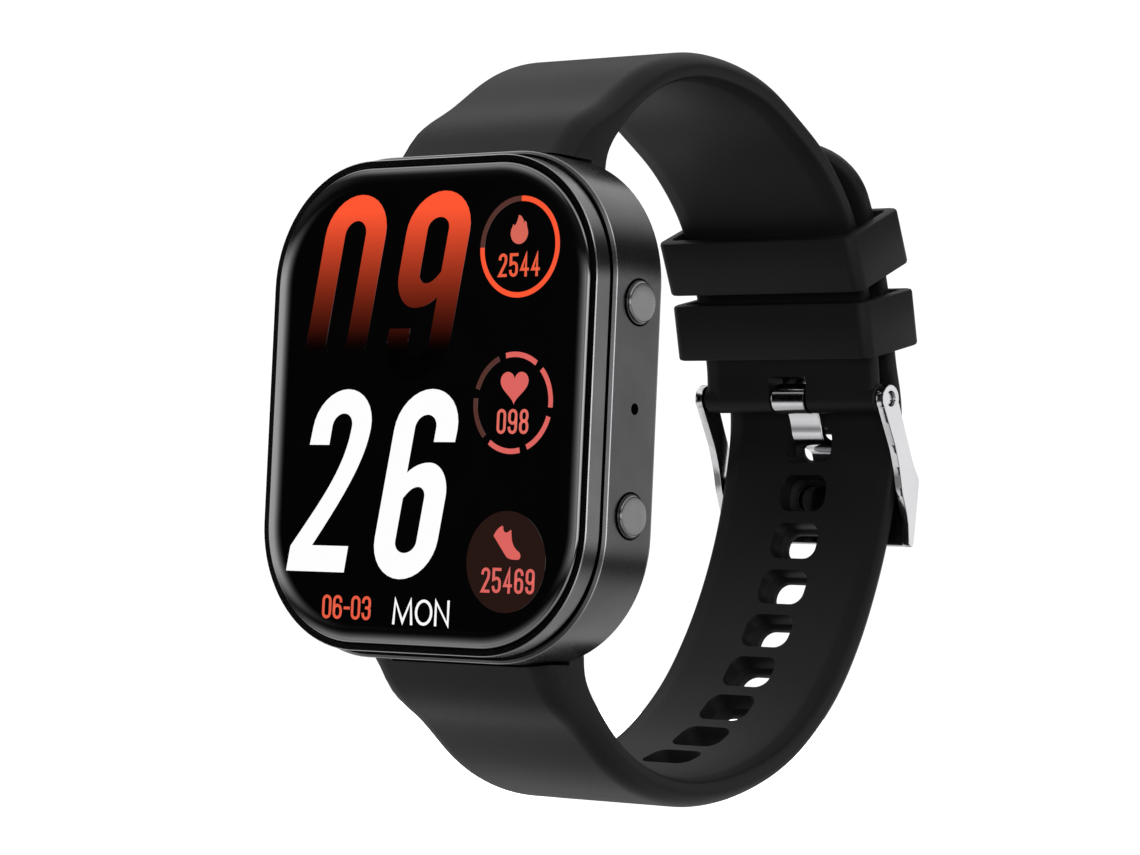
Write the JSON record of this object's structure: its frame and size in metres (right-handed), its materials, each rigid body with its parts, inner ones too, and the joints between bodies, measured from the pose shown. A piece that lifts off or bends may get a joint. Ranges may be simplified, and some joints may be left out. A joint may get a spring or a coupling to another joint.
{
  "type": "smartwatch",
  "caption": "Rectangular smartwatch with a curved-edge display, side buttons and a soft band closed by a pin buckle and keepers.",
  "frame": {"origin": "crown of the sensor window, in the middle of the face that lies on the wrist", "axes": "+X to the 3 o'clock side, -Y out of the display, +Z to 12 o'clock"},
  "size_m": [0.0414, 0.0679, 0.0747],
  "materials": {
    "glass": "clear, curved at the edge, over a black display",
    "display": "black self-lit panel",
    "adhesive": "thin black bond",
    "frame_metal": "satin gunmetal, polished edges",
    "case_metal": "fine bead-blasted gunmetal",
    "seal": "matte",
    "back": "fine satin",
    "window": "dark tinted, gloss",
    "board": "solder mask",
    "chip": "shield can",
    "led": "clear green",
    "diode": "dark clear",
    "contact": "gold plated",
    "screw": "machined",
    "cell": "laminate pouch",
    "module": "moulded",
    "button_metal": "satin",
    "band": "matte silicone",
    "steel": "polished stainless"
  },
  "bodies": {
    "case": {"cover_glass": "glass", "glass_adhesive": "adhesive", "touch_display": "display", "front_frame": "frame_metal", "frame_gasket": "seal", "back_gasket": "seal", "button_seal_upper": "seal", "button_seal_lower": "seal", "case_body": "case_metal", "case_back": "back", "sensor_window": "window", "sensor_board": "board", "main_board": "board", "sensor_led_left": "led", "sensor_led_right": "led", "photodiode_upper": "diode", "photodiode_lower": "diode", "charge_contact_left": "contact", "charge_contact_right": "contact", "back_screw_1": "screw", "back_screw_2": "screw", "back_screw_3": "screw", "back_screw_4": "screw", "processor_shield": "chip", "battery": "cell", "haptic_motor": "module", "speaker": "module", "microphone": "module", "button_switch_upper": "module", "button_switch_lower": "module", "strap_short": "band", "strap_long": "band", "lug_bar_upper": "steel", "lug_bar_lower": "steel"},
    "button_upper": {"button_upper": "button_metal", "button_clip_upper": "screw"},
    "button_lower": {"button_lower": "button_metal", "button_clip_lower": "screw"},
    "lug_tip_upper_left": {"lug_tip_upper_left": "steel"},
    "lug_tip_upper_right": {"lug_tip_upper_right": "steel"},
    "lug_tip_lower_left": {"lug_tip_lower_left": "steel"},
    "lug_tip_lower_right": {"lug_tip_lower_right": "steel"},
    "clasp": {"buckle_bar": "steel"},
    "buckle": {"buckle_frame": "steel"},
    "tongue": {"buckle_tongue": "steel"},
    "keeper_upper": {"keeper_upper": "band"},
    "keeper_lower": {"keeper_lower": "band"}
  },
  "joints": [
    {"name": "press_upper_button", "type": "slide", "parent": "case", "child": "button_upper", "axis": [-1, 0, 0], "range_m": [0, 0.00045], "stiffness_N_per_m": 800},
    {"name": "press_lower_button", "type": "slide", "parent": "case", "child": "button_lower", "axis": [-1, 0, 0], "range_m": [0, 0.00045], "stiffness_N_per_m": 800},
    {"name": "band_flex", "type": "slide", "parent": "case", "child": "clasp", "axis": [0, 1, 0], "range_m": [-0.005, 0.001], "stiffness_N_per_m": 300, "deforming": ["strap_short", "strap_long"]},
    {"name": "buckle_swing", "type": "hinge", "parent": "clasp", "child": "buckle", "pos_m": [0, 0.0482, 0.00493], "axis": [1, 0, 0], "range_deg": [0, 10]},
    {"name": "tongue_lift", "type": "hinge", "parent": "buckle", "child": "tongue", "pos_m": [0, 0.0482, 0.00493], "axis": [1, 0, 0], "range_deg": [0, 12]},
    {"name": "upper_keeper_travel", "type": "hinge", "parent": "clasp", "child": "keeper_upper", "pos_m": [0, 0.0058, 0.002], "axis": [1, 0, 0], "range_deg": [-0.5, 5]},
    {"name": "lower_keeper_travel", "type": "hinge", "parent": "clasp", "child": "keeper_lower", "pos_m": [0, 0.0058, 0.002], "axis": [1, 0, 0], "range_deg": [-1.5, 0]},
    {"name": "upper_left_tip_retract", "type": "slide", "parent": "case", "child": "lug_tip_upper_left", "axis": [1, 0, 0], "range_m": [0, 0.001], "stiffness_N_per_m": 300},
    {"name": "upper_right_tip_retract", "type": "slide", "parent": "case", "child": "lug_tip_upper_right", "axis": [-1, 0, 0], "range_m": [0, 0.001], "stiffness_N_per_m": 300},
    {"name": "lower_left_tip_retract", "type": "slide", "parent": "case", "child": "lug_tip_lower_left", "axis": [1, 0, 0], "range_m": [0, 0.001], "stiffness_N_per_m": 300},
    {"name": "lower_right_tip_retract", "type": "slide", "parent": "case", "child": "lug_tip_lower_right", "axis": [-1, 0, 0], "range_m": [0, 0.001], "stiffness_N_per_m": 300}
  ]
}
